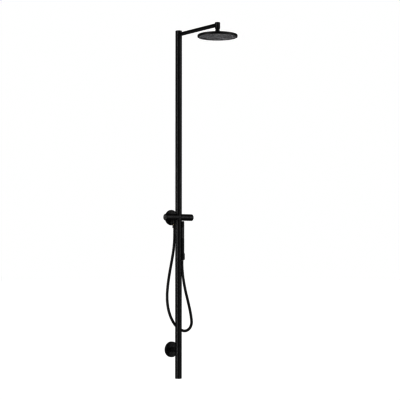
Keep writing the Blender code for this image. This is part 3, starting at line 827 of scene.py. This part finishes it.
def make_handle(handle, side):
    """One handle: a tube with a narrow shadow gap to the mixer, and a cap with a soft edge."""
    shell = f"{handle}_shell"
    near = MIXER_HALF + 0.0005
    far = max(abs(box(shell)[0].x), abs(box(shell)[1].x))
    end = max(abs(box(f"{handle}_cap")[0].x), abs(box(f"{handle}_cap")[1].x))
    bore = 0.016
    tube = lathe(rounded(pipe(BAR_RADIUS, bore, near, far), 0.0004), COLUMN_AXIS, side)
    if box("safety_button")[0].x * side.x > 0:
        at = COLUMN_AXIS + RIGHT * middle("safety_button").x
        hole = radius_of("safety_button", 1) - 0.0015 + GAP
        tube = carved(tube, [lathe(rod(hole, 0.01, 0.03), at, FRONT, SMALL_STEPS)])
    piece(f"{handle}_tube", tube, shell)
    cap = [
        (0, end),
        (BAR_RADIUS - 0.0022, end),
        (BAR_RADIUS, end - 0.0022),
        (BAR_RADIUS, far + GAP),
        (bore - GAP, far + GAP),
        (bore - GAP, far - 0.007),
        (0, far - 0.007),
    ]
    piece(f"{handle}_end", lathe(rounded(cap, 0.0016, 5), COLUMN_AXIS, side), f"{handle}_cap")


def make_button():
    """The stop button, with a shallow dish for the thumb."""
    low, high = box("safety_button")
    at = Vector((middle("safety_button").x, high.y, middle("safety_button").z))
    tall = high.y - low.y
    flange = radius_of("safety_button", 1)
    radius = flange - 0.0015
    outline = [
        (0, tall - 0.0005),
        (radius * 0.55, tall - 0.0004),
        (radius * 0.85, tall),
        (radius, tall),
        (radius, 0.002),
        (flange, 0.002),
        (flange, 0),
        (0, 0),
    ]
    piece("safety_button_dished", lathe(rounded(outline, 0.0004), at, FRONT, SMALL_STEPS), "safety_button")


make_mixer_body()
make_handle("temperature_handle", RIGHT)
make_handle("diverter_handle", LEFT)
make_button()


# The column and its arm.

ARM_AXIS = Vector((0, 0, middle("shower_arm").z))
HEAD_AXIS = Vector((0, middle("arm_end_block").y, 0))


def make_column():
    """Two straight tubes, each with a plug in its open end, and the arm's hole near the top."""
    low, high = box("upper_column_tube")
    radius = radius_of("upper_column_tube", 2)
    bore = 0.0165
    arm_radius = radius_of("shower_arm", 1) + SADDLE_GAP
    arm_hole = lathe(rod(arm_radius, 0.005, 0.03), ARM_AXIS + COLUMN_AXIS, FRONT)
    upper = lathe(rounded(pipe(radius, bore, low.z, high.z), 0.0004), COLUMN_AXIS, UP)
    piece("upper_column", carved(upper, [arm_hole]), "upper_column_tube")
    low, high = box("lower_column_tube")
    lower = lathe(rounded(pipe(radius, bore, low.z, high.z), 0.0004), COLUMN_AXIS, UP)
    piece("lower_column", lower, "lower_column_tube")
    for name, node, direction in (
        ("upper_column_end", "upper_column_cap", UP),
        ("lower_column_end", "lower_column_cap", DOWN),
    ):
        low, high = box(node)
        end = high.z if direction == UP else -low.z
        plate = end - 0.0027
        plug_radius = 0.0161
        plug = plate - 0.006
        outline = [
            (0, end),
            (radius, end),
            (radius, plate),
            (plug_radius, plate),
            (plug_radius, plug),
            (0, plug),
        ]
        piece(name, lathe(rounded(outline, 0.0009), COLUMN_AXIS, direction), node)


def make_arm():
    """The arm, and the turned block at its end that holds the ball joint."""
    low, high = box("shower_arm")
    radius = radius_of("shower_arm", 1)
    at = ARM_AXIS
    outline = pipe(radius, radius - 0.0015, -high.y, -low.y)
    piece("shower_arm_tube", lathe(rounded(outline, 0.0003), at, FRONT), "shower_arm")
    low, high = box("arm_end_block")
    block_radius = radius_of("arm_end_block", 2)
    bevel = 0.0028
    recess_radius = 0.0084
    recess = BALL_CENTRE.z + 0.0085
    outline = [
        (0, high.z),
        (block_radius, high.z),
        (block_radius, low.z + bevel),
        (block_radius - bevel, low.z),
        (recess_radius, low.z),
        (recess_radius, recess),
        (0, recess),
    ]
    block = lathe(rounded(outline, 0.0012, 5), HEAD_AXIS, UP)
    socket = lathe(rod(radius + SADDLE_GAP, 0.0046, 0.03), HEAD_AXIS + ARM_AXIS, BACK)
    piece("arm_end_block_turned", carved(block, [socket]), "arm_end_block")


make_column()
make_arm()


# The ball joint and the rain head.

NUT_CAVITY = 0.0087
NECK_RADIUS = 0.0035
NECK_BORE = 0.0063
CUP_RADIUS = 0.0114
HEAD_SKIN = 0.0014


def arc(radius, first, last, steps=10):
    """Points of a circle about the ball centre, from one height to another."""
    start = math.asin(first / radius)
    end = math.asin(last / radius)
    turns = [start + (end - start) * i / steps for i in range(steps + 1)]
    return [(radius * math.cos(turn), radius * math.sin(turn)) for turn in turns]


def make_swivel_nut():
    """A plain nut that ends in a ball, so it stays close to the collar as the head tilts."""
    low, high = box("swivel_nut")
    outer = radius_of("swivel_nut", 2)
    top = high.z - BALL_CENTRE.z
    foot = low.z - BALL_CENTRE.z
    outline = [
        (outer - 0.0004, top),
        (outer, top - 0.0004),
        *arc(outer, 0, foot),
        *arc(NUT_CAVITY, foot, 0),
        (NUT_CAVITY, top),
    ]
    piece("swivel_nut_turned", lathe(outline, BALL_CENTRE, UP), "swivel_nut", 30)


def make_nipple():
    """A ball with its top cut flat, on a neck and a threaded shank, with a water way through it."""
    radius = radius_of("ball_nipple", 2)
    top = 0.0062
    foot = -math.sqrt(radius**2 - NECK_RADIUS**2)
    shoulder = -0.013
    end = box("ball_nipple")[0].z - BALL_CENTRE.z
    shank = NECK_BORE - GAP
    water_way = 0.002
    outline = [
        *arc(radius, top, foot, 16),
        (NECK_RADIUS, shoulder),
        (shank, shoulder),
        (shank, end),
        (water_way, end),
        (water_way, top),
    ]
    piece("ball_nipple_turned", lathe(outline, BALL_CENTRE, UP), "ball_nipple")


def curve_between(first, first_way, last, last_way, steps=14):
    """Points of a cubic curve between two points of an outline, with the slope at each end."""
    made = []
    for step in range(steps + 1):
        t = step / steps
        u = 1 - t
        made.append(
            tuple(
                u**3 * first[i]
                + 3 * u**2 * t * (first[i] + first_way[i])
                + 3 * u * t**2 * (last[i] - last_way[i])
                + t**3 * last[i]
                for i in range(2)
            )
        )
    return made


def make_collar():
    """The cup under the nut, which flares out into the head."""
    low, high = box("head_collar")
    foot = low.z - BALL_CENTRE.z
    rim = high.z - BALL_CENTRE.z
    wide = radius_of("head_collar", 2)
    cup_floor = -math.sqrt(CUP_RADIUS**2 - NECK_BORE**2)
    flare = curve_between((0.0120, rim - 0.0030), (0.0002, -0.007), (wide, foot), (0.0022, -0.004))
    outline = [
        (0.0116, rim),
        (0.0119, rim - 0.0006),
        *flare,
        (NECK_BORE, foot),
        *arc(CUP_RADIUS, cup_floor, rim),
    ]
    piece("head_collar_flared", lathe(outline, BALL_CENTRE, UP), "head_collar", 40)


def make_head_shell():
    """The domed top of the head, with a rolled rim."""
    low, high = box("head_top_shell")
    radius = radius_of("head_top_shell", 2)
    top, face = high.z, low.z
    lip = 0.1064
    dome_edge = (radius - 0.008, top - 0.0030)
    rim = curve_between(dome_edge, (0.0035, -0.0007), (radius, top - 0.0064), (0, -0.0012))
    outline = [
        (0.005, top),
        (0.030, top - 0.0004),
        (0.070, top - 0.0014),
        *rim,
        (radius, face + 0.0012),
        (radius - 0.0004, face + 0.0004),
        (radius - 0.0012, face),
        (lip + 0.0004, face),
        (lip, face + 0.0004),
        (lip, face + HEAD_SKIN),
        (radius - HEAD_SKIN, face + HEAD_SKIN),
        (radius - HEAD_SKIN, top - 0.0075),
        (radius - 0.009, top - 0.0030 - HEAD_SKIN),
        (0.030, top - 0.0004 - HEAD_SKIN),
        (0.005, top - HEAD_SKIN),
    ]
    piece("head_shell_domed", lathe(outline, HEAD_AXIS, UP, 160), "head_top_shell", 40)


def nozzle_places(rings, pitch):
    """A centre nozzle and rings of 6, 12, 18 and so on around it, at an even pitch."""
    places = [Vector((HEAD_AXIS.x, HEAD_AXIS.y, 0))]
    for ring in range(1, rings + 1):
        for index in range(6 * ring):
            angle = math.tau * index / (6 * ring)
            out = Vector((math.cos(angle), math.sin(angle), 0))
            places.append(places[0] + out * ring * pitch)
    return places


def circle(work, centre, radius, steps):
    """A closed loop of edges in a level plane."""
    verts = []
    for step in range(steps):
        angle = math.tau * step / steps
        out = Vector((math.cos(angle), math.sin(angle), 0))
        verts.append(work.verts.new(centre + out * radius))
    return [work.edges.new((verts[i], verts[(i + 1) % steps])) for i in range(steps)]


def pierced_disc(radius, low, high, holes, hole_radius, steps=10):
    """A disc with a hole at each place."""
    work = bmesh.new()
    base = Vector((HEAD_AXIS.x, HEAD_AXIS.y, low))
    edges = circle(work, base, radius, 128)
    for place in holes:
        edges += circle(work, Vector((place.x, place.y, low)), hole_radius, steps)
    bmesh.ops.triangle_fill(work, edges=edges, use_beauty=True)
    faces = work.faces[:]
    pushed = bmesh.ops.extrude_face_region(work, geom=faces)
    moved = [v for v in pushed["geom"] if isinstance(v, bmesh.types.BMVert)]
    bmesh.ops.translate(work, vec=(0, 0, high - low), verts=moved)
    bmesh.ops.recalc_face_normals(work, faces=work.faces)
    return work


def make_spray_face():
    """The spray plate with a hole at each nozzle, and the mat with its soft nozzles behind it."""
    places = nozzle_places(NOZZLE_RINGS, NOZZLE_PITCH)
    low, high = box("head_spray_plate")
    radius = radius_of("head_spray_plate", 2)
    plate = pierced_disc(radius, low.z, high.z, places, NOZZLE_RADIUS + 0.0005)
    piece("head_spray_plate_pierced", plate, "head_spray_plate", 30)
    mat_low, mat_high = box("head_nozzle_mat")
    tip = mat_low.z
    seat = high.z + GAP
    works = [lathe(rod(radius_of("head_nozzle_mat", 2), seat, mat_high.z), HEAD_AXIS, UP)]
    for place in places:
        outline = [
            (0, -tip - 0.0006),
            (NOZZLE_RADIUS * 0.35, -tip - 0.0006),
            (NOZZLE_RADIUS * 0.45, -tip),
            (NOZZLE_RADIUS * 0.75, -tip),
            (NOZZLE_RADIUS * 0.9, -tip - 0.0003),
            (NOZZLE_RADIUS, -seat - 0.0002),
            (0, -seat - 0.0002),
        ]
        works.append(lathe(outline, place, DOWN, 10))
    piece("head_nozzle_mat_full", merged(*works), "head_nozzle_mat", 35)


make_swivel_nut()
make_nipple()
make_collar()
make_head_shell()
make_spray_face()


# The hand shower and its holder.

HAND_AXIS = Vector((HAND_X, middle("hand_shower_tube").y, 0))
HOLDER_ARM_RADIUS = 0.006
HOLDER_SLOT_HALF = 0.008
HOLDER_PLAY = 0.0004


def make_hand_shower():
    """A slim stick with a long flat spray face, set in a round-cornered window."""
    low, high = box("hand_shower_tube")
    radius = radius_of("hand_shower_tube", 2)
    bore = radius - 0.0015
    tube = lathe(rounded(pipe(radius, bore, low.z, high.z), 0.0004), HAND_AXIS, UP)
    plate_low, plate_high = box("hand_spray_plate")
    half = (plate_high.x - plate_low.x) / 2
    front = plate_low.y - HAND_AXIS.y
    back = plate_high.y - HAND_AXIS.y
    window = rounded_slab(half + GAP, plate_low.z - GAP, plate_high.z + GAP, 0.0035, -0.02, -0.004)
    bmesh.ops.translate(window, vec=HAND_AXIS, verts=window.verts)
    piece("hand_shower_stick", carved(tube, [window]), "hand_shower_tube")

    plate = rounded_slab(half, plate_low.z, plate_high.z, 0.0032, front, back)
    bmesh.ops.translate(plate, vec=HAND_AXIS, verts=plate.verts)
    places = hand_nozzle_places()
    drills = merged(*[lathe(rod(0.0011, 0.0070, 0.013), place, FRONT, 14) for place in places])
    piece("hand_spray_face", carved(plate, [drills]), "hand_spray_plate", 30)

    strip_low, strip_high = box("hand_nozzle_strip")
    strip_half = (strip_high.x - strip_low.x) / 2
    strip = rounded_slab(strip_half, strip_low.z, strip_high.z, 0.002, -0.0080, -0.0058)
    bmesh.ops.translate(strip, vec=HAND_AXIS, verts=strip.verts)
    tip = HAND_AXIS.y - strip_low.y
    works = [strip]
    for place in places:
        outline = [
            (0, tip - 0.0005),
            (0.00030, tip - 0.0005),
            (0.00038, tip),
            (0.00062, tip),
            (0.00075, tip - 0.0003),
            (0.00085, 0.0070),
            (0, 0.0070),
        ]
        works.append(lathe(outline, place, FRONT, 12))
    piece("hand_nozzle_strip_full", merged(*works), "hand_nozzle_strip", 35)

    low, high = box("hand_shower_cap")
    plug = bore - GAP
    cap = [
        (0, high.z),
        (radius, high.z),
        (radius, high.z - 0.002 + GAP),
        (plug, high.z - 0.002 + GAP),
        (plug, low.z),
        (0, low.z),
    ]
    piece("hand_shower_end", lathe(rounded(cap, 0.0008), HAND_AXIS, UP), "hand_shower_cap")


def hand_nozzle_places():
    """Two columns of nozzles, at an even pitch."""
    first = middle("hand_spray_plate").z - HAND_NOZZLE_PITCH * (HAND_NOZZLE_ROWS - 1) / 2
    return [
        Vector((HAND_AXIS.x + offset, HAND_AXIS.y, first + HAND_NOZZLE_PITCH * row))
        for row in range(HAND_NOZZLE_ROWS)
        for offset in (-HAND_NOZZLE_OFFSET, HAND_NOZZLE_OFFSET)
    ]


def make_holder():
    """The cup that the cone nut drops into, open on its right, on a short arm from the column."""
    low, high = box("hand_shower_holder")
    radius = high.y - HAND_AXIS.y
    arm_height = (low.z + high.z) / 2
    cup = lathe(rounded(rod(radius, low.z, high.z), 0.0012), HAND_AXIS, UP)
    start = COLUMN_AXIS + UP * arm_height
    way = (HAND_AXIS - COLUMN_AXIS).normalized()
    reach = (HAND_AXIS - COLUMN_AXIS).length
    arm = lathe(rod(HOLDER_ARM_RADIUS, 0.010, reach - 0.012), start, way, SMALL_STEPS)
    holder = carved(cup, [arm], "UNION")
    nut_low, nut_high = box("hose_cone_nut")
    nut_radius = radius_of("hose_cone_nut", 2)
    taper = (nut_radius - CONE_END_RADIUS) / (nut_high.z - nut_low.z)
    past = 0.01
    cone = [
        (0, nut_high.z + past),
        (nut_radius + taper * past + HOLDER_PLAY, nut_high.z + past),
        (CONE_END_RADIUS - taper * past + HOLDER_PLAY, nut_low.z - past),
        (0, nut_low.z - past),
    ]
    slot = rounded_slab(HOLDER_SLOT_HALF, low.z - past, high.z + past, 0.0005, 0, 0.03)
    bmesh.ops.rotate(slot, cent=(0, 0, 0), matrix=quarter_turn(), verts=slot.verts)
    bmesh.ops.translate(slot, vec=HAND_AXIS, verts=slot.verts)
    column = lathe(rod(radius_of("upper_column_tube", 2) + SADDLE_GAP, -1, 0.01), COLUMN_AXIS, UP)
    holder = carved(holder, [lathe(cone, HAND_AXIS, UP), slot, column])
    piece("holder_cup", holder, "hand_shower_holder", 35)


def quarter_turn():
    """Turns +Y to +X."""
    return Matrix.Rotation(math.radians(-90), 3, "Z")


make_hand_shower()
make_holder()
dress_cad_nodes()


# The studio: a white floor and surround, which only the camera sees, and soft boxes at the sides.


def make_floor():
    mesh = bpy.data.meshes.new("floor")
    work = bmesh.new()
    bmesh.ops.create_circle(work, cap_ends=True, segments=96, radius=FLOOR_RADIUS)
    work.to_mesh(mesh)
    work.free()
    floor = bpy.data.objects.new("floor", mesh)
    floor.location = (0, 0, CAD_BOX[0][2] - FLOOR_BELOW)
    material = bpy.data.materials.new("pale_floor")
    material.use_nodes = True
    shader = material.node_tree.nodes["Principled BSDF"]
    shader.inputs["Base Color"].default_value = (0.04, 0.04, 0.04, 1)
    shader.inputs["Specular IOR Level"].default_value = 0
    shader.inputs["Roughness"].default_value = 0.8
    shader.inputs["Emission Color"].default_value = (1, 1, 1, 1)
    shader.inputs["Emission Strength"].default_value = FLOOR_GLOW
    mesh.materials.append(material)
    floor.visible_glossy = False
    floor.visible_diffuse = False
    floor.visible_shadow = False
    bpy.context.scene.collection.objects.link(floor)


def make_surround():
    world = bpy.data.worlds.new("white_surround")
    world.use_nodes = True
    sky = world.node_tree.nodes["Background"]
    sky.inputs["Color"].default_value = (1, 1, 1, 1)
    sky.inputs["Strength"].default_value = 1.0
    world.cycles_visibility.glossy = False
    world.cycles_visibility.diffuse = False
    bpy.context.scene.world = world


def soft_box(name, azimuth, height, distance, wide, tall, power):
    """A soft box that faces the column. Azimuth 0 is in front, and 90 is on the right."""
    data = bpy.data.lights.new(name, "AREA")
    data.shape = "RECTANGLE"
    data.size = wide
    data.size_y = tall
    data.energy = power
    light = bpy.data.objects.new(name, data)
    angle = math.radians(azimuth)
    away = Vector((math.sin(angle), -math.cos(angle), 0))
    light.location = away * distance + UP * height
    target = UP * STUDIO_MIDDLE
    light.rotation_mode = "QUATERNION"
    light.rotation_quaternion = (target - light.location).to_track_quat("-Z", "Y")
    light.visible_camera = False
    bpy.context.scene.collection.objects.link(light)


def head_lamp(name, at, target, size, spread, power):
    """A soft disc of light on the spray face, in place of the light that a white floor throws up."""
    data = bpy.data.lights.new(name, "AREA")
    data.shape = "DISK"
    data.size = size
    data.spread = math.radians(spread)
    data.energy = power
    light = bpy.data.objects.new(name, data)
    light.location = at
    light.rotation_mode = "QUATERNION"
    light.rotation_quaternion = (target - at).to_track_quat("-Z", "Y")
    light.visible_camera = False
    bpy.context.scene.collection.objects.link(light)


def light_the_studio():
    soft_box("left_box", -84, -0.2, 3.0, 1.0, 5.4, 195)
    soft_box("cap_box", -140, 0.1, 2.0, 0.6, 0.5, 8)
    soft_box("right_box", 36, 0.9, 3.5, 1.2, 4.8, 110)
    soft_box("front_box", 6, 0.4, 3.5, 1.4, 4.0, 40)
    soft_box("back_box", 180, 0.4, 3.0, 1.6, 3.6, 15)
    soft_box("top_box", 0, 4.0, 1.0, 2.5, 2.5, 60)
    soft_box("low_box", 0, -2.6, 2.2, 2.5, 2.5, 50)
    head = middle("head_spray_plate")
    head_lamp("head_lamp", head + Vector((0.10, -0.08, -0.9)), head, 0.5, 45, 2.1)


make_floor()
make_surround()
light_the_studio()
bpy.context.scene.view_settings.view_transform = "Standard"
bpy.context.scene.view_settings.gamma = DISPLAY_GAMMA
